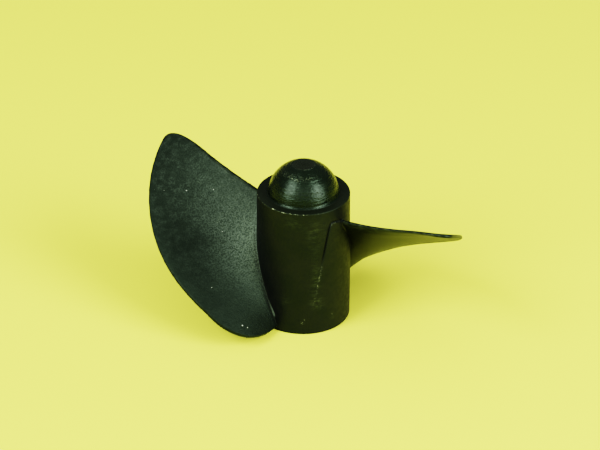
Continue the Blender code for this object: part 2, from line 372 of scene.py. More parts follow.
SCUFFS = (
    (285.0, 15.0, 11.0, 2.0, 0.55),
    (285.5, 8.2, 6.0, 2.8, 0.6),
    (289.0, 4.6, 8.0, 0.8, 0.9),
    (247.5, 4.8, 6.0, 0.7, 0.5),
    (308.6, 1.9, 2.0, 0.3, 0.9),
    (256.0, 16.6, 20.0, 0.8, 0.35),
)
FLECKS = (
    (269.6, 1.75, 1.3, 0.13, 0.55),
    (271.9, 2.2, 0.9, 0.09, 0.4),
    (308.5, 2.4, 0.7, 0.08, 0.4),
)


def parting_curve(count):
    """The mould's parting line on the unrolled barrel, as (arc, height), by arc length."""
    points = joined(np.radians(PARTING_ANGLES) * MEAN_HUB_RADIUS, PARTING_HEIGHTS * MM)
    for _ in range(2):
        ahead = 0.75 * points[:-1] + 0.25 * points[1:]
        behind = 0.25 * points[:-1] + 0.75 * points[1:]
        middle = np.stack([ahead, behind], axis=1).reshape(-1, 2)
        points = np.vstack([points[:1], middle, points[-1:]])
    length = np.r_[0.0, np.cumsum(np.hypot(*np.diff(points, axis=0).T))]
    return read_along(points, length, np.linspace(0.0, length[-1], count))


def blade_side_curve():
    """The rest of the boundary of the proud band: down the middle of the blade's root to its lower end."""
    angle = np.linspace(upper_edge(HUB_TOP_RADIUS), lower_edge(HUB_TOP_RADIUS), SIDE_POINTS)[SIDE_START:]
    return joined((angle + math.pi) * MEAN_HUB_RADIUS, mid_height(angle, HUB_TOP_RADIUS))


def barrel_radius(arc, height):
    """Radius of the barrel at a place on it unrolled, and how worn it is there.
    It is the tapered radius, plus the proud band's share by a smooth step of the signed distance
    to the parting line, plus a ridge of flash on that line, and less a groove beside its upper part.
    Ridge and groove are bells across the line: exp(-((distance / half width - place) / spread)^2).
    The line shows worn on the flash, in its lower half, and where it levels off near the top."""
    border = np.vstack([parting_curve(CURVE_POINTS), blade_side_curve()])
    turn = math.pi * MEAN_HUB_RADIUS
    start = border[0, 0]
    local = start + np.mod(arc - start, turn)
    below = height < np.interp(local, border[:, 0], border[:, 1], right=0.0)
    p = joined(local, height).reshape(-1, 1, 2)
    distance = np.full(p.shape[0], np.inf)
    for shift in (0.0, turn):
        a = border[None, :-1] + np.array([shift, 0.0])
        d = np.diff(border, axis=0)[None]
        t = np.clip(np.sum((p - a) * d, axis=-1) / np.sum(d * d, axis=-1), 0.0, 1.0)
        distance = np.minimum(distance, np.linalg.norm(p - a - t[..., None] * d, axis=-1).min(axis=1))
    distance = distance.reshape(np.shape(height)) * np.where(below, 1.0, -1.0)
    share = np.clip(0.5 + distance / (2 * STEP_HALF_WIDTH), 0.0, 1.0)
    share = share * share * (3 - 2 * share)
    taper = HUB_BASE_RADIUS - HUB_TOP_RADIUS
    tapered = HUB_BASE_RADIUS - taper * height / HUB_HEIGHT
    proud = share * taper * height / HUB_HEIGHT
    off = distance / STEP_HALF_WIDTH
    drawn = height < PARTING_TOP
    on_line = np.exp(-((off / RIDGE_SPREAD) ** 2)) * drawn
    beside = np.exp(-(((off - GROOVE_PLACE) / GROOVE_SPREAD) ** 2)) * drawn
    flash = on_line * np.interp(height, FLASH_HEIGHTS, [0.0, 1.0, 1.0, 0.0])
    groove = beside * np.interp(height, GROOVE_HEIGHTS, [0.0, 1.0])
    shoulder = on_line * np.interp(height, SHOULDER_HEIGHTS, [0.0, 1.0])
    radius = tapered + proud + PARTING_FLASH * flash - PARTING_GROOVE * groove
    return radius, FLASH_WEAR * flash + SHOULDER_WEAR * shoulder


def patches(points, places):
    """How strongly the barrel is marked, by soft patches of (angle in degrees, height in mm, their half
    widths, strength): strength * exp(-(angle off / half width)^2 - (height off / half width)^2)."""
    degree = np.degrees(np.arctan2(points[..., 1], points[..., 0])) % 360
    total = np.zeros_like(degree)
    for angle, height, half_angle, half_height, strength in places:
        across = (degree - angle) / half_angle
        total += strength * np.exp(-(across**2) - ((points[..., 2] / MM - height) / half_height) ** 2)
    return total


def on_barrel(arc, height, radius):
    """Places on the unrolled barrel as points in space."""
    angle = arc / MEAN_HUB_RADIUS
    return joined(radius * np.cos(angle), radius * np.sin(angle), height)


def root_rings(loop):
    """Rings from a blade's root loop down to the barrel. Each goes out along the barrel by
    size * (1 - cos t) while the rise over the barrel falls by sin t, which is a round. At the lower end
    of the upper face a flat bevel, where both go by 2 t / pi, widens and then stops short."""
    arc = np.unwrap(np.arctan2(loop[:, 1], loop[:, 0])) * MEAN_HUB_RADIUS
    height = loop[:, 2]
    radius = np.hypot(loop[:, 0], loop[:, 1])
    tangent = joined(*(np.roll(q, -2) - np.roll(q, 2) for q in (arc, height)))
    area = np.sum(arc * np.roll(height, -1) - np.roll(arc, -1) * height)
    out = unit(joined(tangent[:, 1], -tangent[:, 0])) * np.sign(area)
    column = np.arange(len(loop))
    bevel = np.interp(column / (CHORD_POINTS - 1), BEVEL_PLACES, [0.0, 1.0, 1.0, 0.0])
    places = [0, CHORD_POINTS, CHORD_POINTS + BAND_POINTS, UPPER_BAND_START, len(loop)]
    below = np.interp(column, places, LOWER_FILLET_SHARES)
    fillet = ROOT_FILLET + (LOWER_FACE_FILLET - ROOT_FILLET) * below
    size = np.minimum(fillet + BEVEL_WIDTH * bevel, 0.5 * (height - ROOT_CLEARANCE))
    place = joined(arc, height)
    foot = place + size[:, None] * out
    foot_radius = barrel_radius(foot[:, 0], foot[:, 1])[0]
    rings = []
    for t in np.linspace(0.0, math.pi / 2, ROOT_FILLET_STEPS + 1)[:0:-1]:
        share_out = (1 - bevel) * (1 - math.cos(t)) + bevel * 2 * t / math.pi
        share_down = (1 - bevel) * math.sin(t) + bevel * 2 * t / math.pi
        ring = place + (size * share_out)[:, None] * out
        rings.append(on_barrel(ring[:, 0], ring[:, 1], radius - (radius - foot_radius) * share_down))
    return np.array(rings), foot, bevel


def outside(points, loops):
    """Whether points lie outside closed loops: an even number of edges crossed on the way right."""
    x, y = points[:, :1], points[:, 1:]
    crossed = 0
    for loop in loops:
        ax, ay = loop[:, 0], loop[:, 1]
        bx, by = np.roll(ax, -1), np.roll(ay, -1)
        spans = (ay > y) != (by > y)
        cross = ax + (y - ay) / np.where(by == ay, 1.0, by - ay) * (bx - ax)
        crossed += np.sum(spans & (x < cross), axis=1)
    return crossed % 2 == 0


def nearest(points, others):
    """Distance from each point to the nearest of the others, a few thousand points at a time."""
    parts = np.array_split(points, max(1, len(points) // BATCH))
    gaps = [np.linalg.norm(part[:, None] - others[None], axis=-1).min(axis=1) for part in parts]
    return np.concatenate(gaps)


def barrel_surface(feet):
    """The barrel's side between its two end rounds: a triangulated grid on the unrolled barrel, with
    points added along the parting lines and the blades' feet cut out."""
    arcs = (SEAM_ANGLE + math.tau * np.arange(COLUMNS + 1) / COLUMNS) * MEAN_HUB_RADIUS
    heights = np.linspace(BASE_ROUND, HUB_HEIGHT - RIM_ROUND, BARREL_ROWS)
    spacing = arcs[1] - arcs[0]
    grid = joined(*np.meshgrid(arcs, heights)).reshape(-1, 2)
    seam, turn = arcs[0], math.tau * MEAN_HUB_RADIUS
    loops = [foot + [np.round((arcs.mean() - foot[:, 0].mean()) / turn) * turn, 0.0] for foot in feet]
    lines = []
    curve = parting_curve(LINE_POINTS)
    along = unit(np.gradient(curve, axis=0))
    across = joined(-along[:, 1], along[:, 0])
    for number in range(BLADE_COUNT):
        for offset in LINE_OFFSETS:
            line = curve + offset * STEP_HALF_WIDTH * across + [number * turn / BLADE_COUNT, 0.0]
            line[:, 0] = seam + np.mod(line[:, 0] - seam, turn)
            free = (line[:, 1] > BASE_ROUND + LINE_ABOVE_BASE) & outside(line, loops)
            free &= nearest(line, np.vstack(loops)) > LINE_FROM_BLADES
            lines.append(line[free])
    fixed = np.vstack(loops + lines)
    edge = np.isin(grid[:, 0], arcs[[0, -1]]) | np.isin(grid[:, 1], heights[[0, -1]])
    grid = grid[edge | (nearest(grid, fixed) > spacing / 2) & outside(grid, loops)]
    constraints = []
    start = 0
    for run in loops + lines:
        index = start + np.arange(len(run))
        steps = np.linalg.norm(np.roll(run, -1, axis=0) - run, axis=-1)
        constraints += joined(index, np.roll(index, -1))[steps < 2 * spacing].tolist()
        start += len(run)
    plane = np.vstack([fixed, grid]) / MM
    made = delaunay_2d_cdt(plane.tolist(), constraints, [], 0, 1e-6)
    points = np.array([tuple(point) for point in made[0]]) * MM
    faces = np.array(made[2])
    faces = faces[outside(points[faces].mean(axis=1), loops)]
    radius, worn = barrel_radius(points[:, 0], points[:, 1])
    placed = on_barrel(points[:, 0], points[:, 1], radius)
    return placed, faces, {"wear": worn + patches(placed, FLECKS), "scuff": patches(placed, SCUFFS)}


# Nose and base: the nose is a turned dome on the ledge, with a small fillet at its foot and the flat
# scar of the gate, whose front and right lips stand up where it was cut off. The base is flat, with a
# hexagonal pocket that the plastic formed round the insert.
NOSE_RADIUS = 4.65 * MM
NOSE_CENTRE = HUB_HEIGHT - 0.4 * MM
NOSE_FOOT_FILLET = 0.32 * MM
EDGE_TURNS = np.radians([22.5, 45.0, 67.5, 90.0])
LEDGE_ROWS = 6
FILLET_ROWS = 9
DOME_ROWS = 44
RIM_BURR = 0.035 * MM
BURR_WAVES = ((43, 0), (71, 1), (97, 2))
BURR_SHARE = 0.7
BURR_PLACE = (230.0, 38.0)
BURR_WEAR = 1.3
SCRATCH_PLACE = (245.0, 42.0)
SCRATCH_HEIGHT = 21.25 * MM
SCRATCH_HALF_HEIGHT = 0.18 * MM
SCRATCH_WEAR = 0.35
GATE_RADIUS = 1.5 * MM
GATE_SINK = 0.02 * MM
GATE_MARGIN = 0.02
GATE_LIP = 0.09 * MM
GATE_LIP_PLACE = (303.0, 42.0)
GATE_LIP_LEAST = 0.06
GATE_LIP_ROWS = ((-0.04, -0.2, 0.1), (0.0, 0.7, 1.0), (0.05, 1.0, 1.3), (0.11, 0.6, 0.9), (0.17, 0.0, 0.0))
GATE_FACE_RADII = (1.1, 0.75, 0.4, 0.12)
POCKET_ACROSS_FLATS = 7.1 * MM
POCKET_DEPTH = 12.05 * MM
POCKET_ROWS = 7
BASE_SHARES = (0.33, 0.66, 1.0)
ROOF_SHARES = (0.6, 0.2)
MERGE_DISTANCE = 0.0002 * MM


def bell_round(degree, middle, spread):
    """A bell round the axis: exp(-(off / spread)^2), where off is the turn from its middle in degrees."""
    return np.exp(-((((degree - middle + 180.0) % 360.0 - 180.0) / spread) ** 2))


def nose_rows(angle):
    """Rows of (radius, height, wear) from the barrel's top row over the rim, ledge and dome to the gate.
    The rim has a ragged burr, three sines of the angle kept above zero, and the gate has a lip that
    fades to its far side. Each lip row is (millimetres inward, share of the rise, share of the wear)."""
    degree = np.degrees(angle) % 360.0
    waves = sum(np.sin(rate * angle + start) for rate, start in BURR_WAVES)
    ragged = bell_round(degree, *BURR_PLACE) * np.clip(waves + BURR_SHARE, 0.0, 2.0)
    rows = []
    for t in EDGE_TURNS:
        radius = HUB_TOP_RADIUS - RIM_ROUND * (1 - math.cos(t)) + RIM_BURR * ragged * math.cos(t) / 2
        height = HUB_HEIGHT - RIM_ROUND * (1 - math.sin(t)) + RIM_BURR * ragged * math.sin(2 * t)
        rows.append((radius, height, BURR_WEAR * ragged * math.sin(2 * t)))
    fillet_height = HUB_HEIGHT + NOSE_FOOT_FILLET
    reach = NOSE_RADIUS + NOSE_FOOT_FILLET
    foot_angle = math.asin((fillet_height - NOSE_CENTRE) / reach)
    fillet_centre = reach * math.cos(foot_angle)
    for radius in np.linspace(HUB_TOP_RADIUS - RIM_ROUND, fillet_centre, LEDGE_ROWS)[1:]:
        rows.append((radius, HUB_HEIGHT, 0.0))
    for t in np.linspace(1.5 * math.pi, math.pi + foot_angle, FILLET_ROWS)[1:]:
        radius = fillet_centre + NOSE_FOOT_FILLET * math.cos(t)
        rows.append((radius, fillet_height + NOSE_FOOT_FILLET * math.sin(t), 0.0))
    gate_angle = math.acos(GATE_RADIUS / NOSE_RADIUS)
    scratched = SCRATCH_WEAR * bell_round(degree, *SCRATCH_PLACE)
    for t in np.linspace(foot_angle, gate_angle - GATE_MARGIN, DOME_ROWS)[1:]:
        height = NOSE_CENTRE + NOSE_RADIUS * math.sin(t)
        band = math.exp(-(((height - SCRATCH_HEIGHT) / SCRATCH_HALF_HEIGHT) ** 2))
        rows.append((NOSE_RADIUS * math.cos(t), height, scratched * band))
    gate_height = NOSE_CENTRE + NOSE_RADIUS * math.sin(gate_angle) - GATE_SINK
    lip = GATE_LIP_LEAST + (1 - GATE_LIP_LEAST) * bell_round(degree, *GATE_LIP_PLACE)
    lip = lip * (0.75 + 0.25 * np.sin(5 * angle + 1) * np.sin(11 * angle))
    for inward, rise, wear in GATE_LIP_ROWS:
        rows.append((GATE_RADIUS - inward * MM, gate_height + GATE_LIP * lip * rise, lip * wear))
    for radius in GATE_FACE_RADII:
        rows.append((radius * MM, gate_height, 0.0))
    return rows


def hexagon_radius(angle, across_flats):
    """How far a hexagon reaches at an angle: half its width across flats, over the cosine of the turn
    from the middle of the nearest flat."""
    sector = math.pi / 3
    return across_flats / 2 / np.cos(np.mod(angle + sector / 2, sector) - sector / 2)


def base_rows(angle):
    """Rows of (radius, height, wear) from the barrel's bottom row round its edge and over the base to
    the hexagonal pocket, up the pocket's walls and over its roof."""
    rows = []
    for t in EDGE_TURNS:
        radius = HUB_BASE_RADIUS - BASE_ROUND * (1 - math.cos(t))
        rows.append((radius, BASE_ROUND * (1 - math.sin(t)), 0.0))
    hexagon = hexagon_radius(angle, POCKET_ACROSS_FLATS)
    for share in BASE_SHARES:
        rows.append(((HUB_BASE_RADIUS - BASE_ROUND) * (1 - share) + hexagon * share, 0.0, 0.0))
    for height in np.linspace(0.0, POCKET_DEPTH, POCKET_ROWS)[1:]:
        rows.append((hexagon, height, 0.0))
    for share in ROOF_SHARES:
        rows.append((hexagon * share, POCKET_DEPTH, 0.0))
    return rows


def turned_rows(rows, angle):
    """Points and wear of rows of (radius, height, wear) round the axis."""
    full = np.ones_like(angle)
    radius, height, wear = (np.array([full * row[item] for row in rows]) for item in range(3))
    return joined(radius * np.cos(angle), radius * np.sin(angle), height), wear


def row_faces(rows, columns, closed=True):
    """Four-sided faces between rows of points, which close on themselves or are open at both ends."""
    index = np.arange(rows * columns).reshape(rows, columns)
    if closed:
        index = np.hstack([index, index[:, :1]])
    return joined(index[:-1, :-1], index[:-1, 1:], index[1:, 1:], index[1:, :-1]).reshape(-1, 4)


def capped(rows, columns, point):
    """Triangles from the last row of a tube to one point on the axis."""
    ring = (rows - 1) * columns + np.arange(columns)
    return joined(ring, np.roll(ring, -1), np.full(columns, point))


def put(name, data):
    """An object made from its data and put into the scene."""
    made = bpy.data.objects.new(name, data)
    bpy.context.scene.collection.objects.link(made)
    return made


def closed_piece(name, parts, surface, sharp_angle):
    """One closed mesh from parts of (points, faces, marks): shared points merged, normals outward, and
    the marks, which are numbers by name, kept as attributes for the material."""
    points = np.vstack([part_points.reshape(-1, 3) for part_points, _, _ in parts])
    faces = []
    start = 0
    for part_points, part_faces, _ in parts:
        faces += (part_faces + start).tolist()
        start += part_points.size // 3
    mesh = bpy.data.meshes.new(name)
    mesh.from_pydata(points.tolist(), [], faces)
    for mark in sorted({key for part in parts for key in part[2]}):
        values = [np.broadcast_to(part[2].get(mark, 0.0), part[0].shape[:-1]).reshape(-1) for part in parts]
        attribute = mesh.attributes.new(mark, "FLOAT", "POINT")
        attribute.data.foreach_set("value", np.concatenate(values).astype(np.float32))
    shape = bmesh.new()
    shape.from_mesh(mesh)
    bmesh.ops.remove_doubles(shape, verts=shape.verts, dist=MERGE_DISTANCE)
    bmesh.ops.recalc_face_normals(shape, faces=shape.faces)
    shape.to_mesh(mesh)
    shape.free()
    mesh.shade_smooth()
    mesh.set_sharp_from_angle(angle=sharp_angle)
    mesh.materials.append(surface)
    return put(name, mesh)


def turned(points, half_turns):
    """Points turned about the axis by a number of half turns."""
    return points * np.array([-1.0, -1.0, 1.0]) if half_turns % 2 else points


def moulding_parts():
    """Every part of the moulding's surface, as (points, faces, marks)."""
    loops, cap = blade_loops(HUB_TOP_RADIUS + ROOT_RISE)
    parts = []
    feet = []
    for number in range(BLADE_COUNT):
        here = turned(loops, number)
        rings, foot, bevel = root_rings(here[0])
        feet.append(foot)
        tube = np.concatenate([rings, here])
        column = np.arange(tube.shape[1])
        row = np.arange(tube.shape[0])[:, None]
        on_blade = row > ROOT_FILLET_STEPS
        bevelled = np.where(on_blade, 0.0, bevel)
        # The painted sheen near the root and the painted highlight on the bevel go to the material as an
        # attribute.
        bloom = FACE_PAINTED_SHEEN * root_painted_sheen(tube) * (1 - bevelled) + BEVEL_PAINTED_HIGHLIGHT * bevelled
        upper_face = (column < CHORD_POINTS) & (row >= PAINTED_SHEEN_FIRST_ROW)
        upper_edge_band = column >= UPPER_BAND_START
        ridge = edge_mark(column - CHORD_POINTS) + edge_mark(column - UPPER_BAND_START)
        marks = {
            "bloom": bloom * upper_face,
            "grained": (1 - bevelled) * upper_face,
            "scuff": EDGE_SCUFF * upper_edge_band * on_blade,
            "wear": EDGE_WEAR * ridge * on_blade,
        }
        parts.append((tube, row_faces(*tube.shape[:2]), marks))
        end = turned(cap, number)
        marks = {"wear": EDGE_WEAR * edge_mark(np.arange(end.shape[1]) - 1)[None, :]}
        parts.append((end, row_faces(*end.shape[:2], closed=False), marks))
    parts.append(barrel_surface(feet))
    angle = SEAM_ANGLE + math.tau * np.arange(COLUMNS) / COLUMNS
    for rows, height in ((nose_rows(angle), HUB_HEIGHT - RIM_ROUND), (base_rows(angle), BASE_ROUND)):
        radius, worn = barrel_radius(angle * MEAN_HUB_RADIUS, np.full(COLUMNS, height))
        points, wear = turned_rows([(radius, height, worn)] + rows, angle)
        count = len(points)
        points = np.vstack([points.reshape(-1, 3), [0.0, 0.0, points[-1, 0, 2]]])
        parts.append((points, row_faces(count, COLUMNS), {"wear": np.append(wear.reshape(-1), 0.0)}))
        parts.append((points, capped(count, COLUMNS, count * COLUMNS), {}))
    return parts


# Nylon: the whole moulding is one glass-filled black nylon. Its fibres show as a grain on the blades,
# the tool that cut the mould left fine turning marks on the nose, and the edges, the flash and the hub
# are worn and scuffed. A pale sheen is painted into the colour of the blades' upper faces, and the nose
# and the flats are painted lighter for the light they reflect.
BLADE_BEYOND = (6.25 * MM, 6.7 * MM)
NOSE_ABOVE = (17.9 * MM, 17.95 * MM)
NOSE_WITHIN = (5.2 * MM, 5.1 * MM)
LEDGE_ABOVE = (17.8 * MM, 17.9 * MM)
LEDGE_BEYOND = (4.75 * MM, 4.9 * MM)
GATE_ABOVE = (21.5 * MM, 21.6 * MM)
GATE_WITHIN = (1.45 * MM, 1.35 * MM)
GRAIN_SIZE = 0.2 * MM
GRAIN_DEPTH = 0.06 * MM
FINE_GRAIN_SIZE = 0.1 * MM
FINE_GRAIN_DEPTH = 0.008 * MM
HUB_GRAIN_DEPTH = 0.003 * MM
OTHER_FACES_GRAIN = 0.25
TURNING_MARK = 0.33 * MM
TURNING_DEPTH = 0.12 * MM
MOTTLE_SIZE = 2.5 * MM
MOTTLE_RANGE = (0.35, 0.65)
BARE_RANGE = (0.36, 0.64, 0.8, 0.0)
# Painted sheen in patches on the blades' upper faces, stronger higher up.
SHEEN_PATCH_SIZE = 0.9 * MM
SHEEN_PATCH_RANGE = (0.4, 0.7, 0.0, 0.047)
SHEEN_PATCH_BY_HEIGHT = (5.0 * MM, 16.0 * MM, 0.3, 1.5)
STREAK_SIZE = 1.1 * MM
STREAK_STRETCH = (1.0, 1.0, 3.5)
STREAK_RANGE = (0.42, 0.72)
WORN_SIZE = 0.22 * MM
WORN_RANGE = (0.48, 0.62)
DUST_SPACING = 1.3 * MM
DUST_SPECK_RANGE = (0.05, 0.03)
DUST_CHANCE_RANGE = (0.86, 0.9)
DUST_STRENGTH = 0.6
HUB_COLOURS = ((0.0042, 0.0050, 0.0052, 1.0), (0.0064, 0.0064, 0.0066, 1.0))
BLADE_COLOURS = ((0.003, 0.0045, 0.003, 1.0), (0.005, 0.007, 0.005, 1.0))
# Painted sheen: the nose is painted greener and lighter than the hub for the sheen it shows.
NOSE_PAINTED_SHEEN_COLOUR = (0.0052, 0.0086, 0.0048, 1.0)
# Painted reflection: the ledge and the gate's flat are painted lighter for the room they reflect.
FLATS_PAINTED_REFLECTION_COLOUR = (0.0095, 0.0115, 0.0065, 1.0)
SCUFF_COLOUR = (0.040, 0.047, 0.025, 1.0)
# The pale colour of the painted sheen and the painted highlight on the blades.
PAINTED_SHEEN_COLOUR = (0.25, 0.30, 0.25, 1.0)
WORN_COLOUR = (0.42, 0.45, 0.31, 1.0)
DUST_COLOUR = (0.55, 0.56, 0.50, 1.0)
BLADE_ROUGHNESS_RANGE = (0.3, 0.7, 0.37, 0.43)
GRAINED_ROUGHER = 0.09
HUB_CLOUD_SIZE = 0.6 * MM
HUB_ROUGHNESS_RANGE = (0.3, 0.7, 0.44, 0.56)
NOSE_SMOOTHER = 0.25
NOSE_COAT = 0.08
NYLON = {"Coat Roughness": 0.24, "Specular IOR Level": 0.28, "Specular Tint": (0.80, 1.0, 0.80, 1.0)}


class Nodes:
    """A tree of nodes, added one call at a time."""

    def __init__(self, tree):
        self.tree = tree

    def add(self, kind, inputs=None, **settings):
        """A node with its settings, and its sockets set to a value or linked to another's output."""
        node = self.tree.nodes.new(kind)
        for key, value in settings.items():
            setattr(node, key, value)
        for key, value in (inputs or {}).items():
            self.set(node.inputs[key], value)
        return node

    def set(self, socket, value):
        """A socket set to a plain value, or linked where the value is another node's output."""
        if isinstance(value, bpy.types.NodeSocket):
            self.tree.links.new(value, socket)
        else:
            socket.default_value = value

    def math(self, operation, *values):
        """A Math node's output."""
        node = self.add("ShaderNodeMath", operation=operation)
        for socket, value in zip(node.inputs, values):
            self.set(socket, value)
        return node.outputs[0]

    def product(self, first, *others):
        """The product of values."""
        for other in others:
            first = self.math("MULTIPLY", first, other)
        return first


class Finish(Nodes):
    """A material's nodes. Places are in the object's own coordinates."""

    def __init__(self, name):
        self.material = bpy.data.materials.new(name)
        self.material.use_nodes = True
        super().__init__(self.material.node_tree)
        self.shader = self.tree.nodes["Principled BSDF"]
        self.place = self.add("ShaderNodeTexCoord").outputs["Object"]

    def coordinates(self):
        """A place's x, y and z, and its distance from the shaft's axis: the root of x^2 + y^2."""
        x, y, z = self.add("ShaderNodeSeparateXYZ", {"Vector": self.place}).outputs
        return x, y, z, self.math("SQRT", self.math("ADD", self.product(x, x), self.product(y, y)))

    def mark(self, name):
        """One of the mesh's own attributes."""
        return self.add("ShaderNodeAttribute", attribute_name=name).outputs["Fac"]

    def ramp(self, value, low, high, to_low=0.0, to_high=1.0):
        """A value carried smoothly from one range to another, and held beyond its ends."""
        inputs = {"Value": value, "From Min": low, "From Max": high, "To Min": to_low, "To Max": to_high}
        return self.add("ShaderNodeMapRange", inputs, interpolation_type="SMOOTHSTEP").outputs[0]

    def noise(self, size, detail, rough=0.5, place=None):
        """Noise whose features are of a size in metres."""
        inputs = {"Vector": place or self.place, "Scale": 1.0 / size, "Detail": detail, "Roughness": rough}
        return self.add("ShaderNodeTexNoise", inputs).outputs["Fac"]

    def mix(self, share, first, second):
        """A colour between two."""
        node = self.add("ShaderNodeMix", data_type="RGBA")
        self.set(node.inputs["Factor"], share)
        self.set(node.inputs[6], first)
        self.set(node.inputs[7], second)
        return node.outputs[2]

    def bump(self, height, distance):
        """The shader's normal, tilted by the slope of a height over a distance."""
        node = self.add("ShaderNodeBump", {"Height": height, "Distance": distance, "Strength": 1.0})
        self.set(self.shader.inputs["Normal"], node.outputs[0])

    def shade(self, values):
        """The shader's own sockets set to values, or linked where they differ from place to place."""
        for name, value in values.items():
            self.set(self.shader.inputs[name], value)


def dust(made, on_blade):
    """How dusty a place is: a few small specks at random on the blades, and four at places of their own
    (x, y, z and radius)."""
    specks = made.add("ShaderNodeTexVoronoi", {"Vector": made.place, "Scale": 1.0 / DUST_SPACING})
    chance = made.add("ShaderNodeSeparateColor", {"Color": specks.outputs["Color"]}).outputs[0]
    speck = made.ramp(specks.outputs["Distance"], *DUST_SPECK_RANGE)
    dusty = made.product(speck, made.ramp(chance, *DUST_CHANCE_RANGE), on_blade)
    for *spot, size in DUST_SPECKS.tolist():
        away = made.add("ShaderNodeVectorMath", {0: made.place, 1: spot}, operation="DISTANCE")
        dusty = made.math("MAXIMUM", dusty, made.ramp(away.outputs["Value"], size, 0.5 * size))
    return dusty


def black_nylon():
    """Glass-filled black nylon: grained and sparkling on the blades, smoother on the hub, with the
    mould's turning marks on the nose, pale flash where the wear attribute says, and dust. A pale sheen
    is painted on the blades' upper faces, and the nose and the flats are painted lighter for the light
    they reflect."""
    made = Finish("black_nylon_moulded")
    x, y, z, radius = made.coordinates()
    on_blade = made.ramp(radius, *BLADE_BEYOND)
    on_nose = made.product(made.ramp(z, *NOSE_ABOVE), made.ramp(radius, *NOSE_WITHIN))
    ledge = made.product(made.ramp(z, *LEDGE_ABOVE), made.ramp(radius, *LEDGE_BEYOND))
    gate = made.product(made.ramp(z, *GATE_ABOVE), made.ramp(radius, *GATE_WITHIN))
    grained = made.mark("grained")
    grain = made.noise(GRAIN_SIZE, 4.0, 0.65)

    # Relief: grain on the blades, next to none on the hub, and rings round the nose
    fine = made.noise(FINE_GRAIN_SIZE, 2.0)
    blade_height = made.math("ADD", made.product(grain, GRAIN_DEPTH), made.product(fine, FINE_GRAIN_DEPTH))
    strength = made.ramp(grained, 0.0, 1.0, OTHER_FACES_GRAIN, 1.0)
    blade_height = made.product(blade_height, strength, on_blade)
    hub_height = made.product(grain, HUB_GRAIN_DEPTH, made.math("SUBTRACT", 1.0, on_blade))
    down_nose = made.math("ARCTAN2", radius, made.math("SUBTRACT", z, NOSE_CENTRE))
    around = [made.product(made.math("DIVIDE", axis, radius), 2.0) for axis in (x, y)]
    ring_place = dict(zip("XY", around))
    ring_place["Z"] = made.product(down_nose, NOSE_RADIUS / TURNING_MARK)
    rings = made.noise(1.0, 3.0, 0.7, made.add("ShaderNodeCombineXYZ", ring_place).outputs[0])
    ring_height = made.product(rings, on_nose, TURNING_DEPTH)
    height = made.math("ADD", made.math("ADD", blade_height, hub_height), ring_height)
    made.bump(made.product(height, 1.0 / MM), MM)

    # Colour: the plastic, with painted reflections lightening the nose and the flats, then scuffs, a painted
    # sheen, worn edges and dust over it
    mottle = made.ramp(made.noise(MOTTLE_SIZE, 3.0), *MOTTLE_RANGE)
    # The nose painted greener and lighter than the hub, as a painted sheen.
    hub_colour = made.mix(on_nose, made.mix(mottle, *HUB_COLOURS), NOSE_PAINTED_SHEEN_COLOUR)
    # The ledge and the gate's flat painted lighter, as a painted reflection.
    hub_colour = made.mix(made.math("MAXIMUM", ledge, gate), hub_colour, FLATS_PAINTED_REFLECTION_COLOUR)
    colour = made.mix(on_blade, hub_colour, made.mix(mottle, *BLADE_COLOURS))
    squeezed = made.add("ShaderNodeVectorMath", {0: made.place, 1: STREAK_STRETCH}, operation="MULTIPLY")
    streaks = made.ramp(made.noise(STREAK_SIZE, 5.0, 0.7, squeezed.outputs[0]), *STREAK_RANGE)
    colour = made.mix(made.product(streaks, made.mark("scuff")), colour, SCUFF_COLOUR)
    # Patches of painted sheen, stronger higher up the blades, join the sheen painted near the roots.
    blotch = made.ramp(made.noise(SHEEN_PATCH_SIZE, 3.0, 0.6), *SHEEN_PATCH_RANGE)
    painted_sheen_patches = made.product(grained, blotch, made.ramp(z, *SHEEN_PATCH_BY_HEIGHT))
    bare = made.product(grained, made.ramp(grain, *BARE_RANGE))
    # The painted sheen, broken up by the grain, is mixed into the colour.
    bloom = made.product(made.math("ADD", made.mark("bloom"), painted_sheen_patches), made.math("SUBTRACT", 1.0, bare))
    colour = made.mix(bloom, colour, PAINTED_SHEEN_COLOUR)
    torn = made.ramp(made.noise(WORN_SIZE, 3.0, 0.7), *WORN_RANGE)
    colour = made.mix(made.product(made.mark("wear"), torn), colour, WORN_COLOUR)
    colour = made.mix(made.product(dust(made, on_blade), DUST_STRENGTH), colour, DUST_COLOUR)

    # Gloss: even on the blades, cloudy on the hub, and a thin coat that makes the nose shine
    on_blades = made.ramp(grain, *BLADE_ROUGHNESS_RANGE)
    on_blades = made.math("ADD", on_blades, made.product(grained, GRAINED_ROUGHER))
    on_hub = made.ramp(made.noise(HUB_CLOUD_SIZE, 4.0), *HUB_ROUGHNESS_RANGE)
    on_hub = made.math("SUBTRACT", on_hub, made.product(on_nose, NOSE_SMOOTHER))
    difference = made.product(made.math("SUBTRACT", on_blades, on_hub), on_blade)
    coat = made.ramp(on_nose, 0.0, 1.0, 0.0, NOSE_COAT)
    made.shade(NYLON)
    made.shade({"Base Color": colour, "Roughness": made.math("ADD", on_hub, difference), "Coat Weight": coat})
    return made.material


moulding = closed_piece("hub_and_blades_moulding", moulding_parts(), black_nylon(), math.radians(50))
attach(moulding, "root")
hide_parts("hub_and_blades")

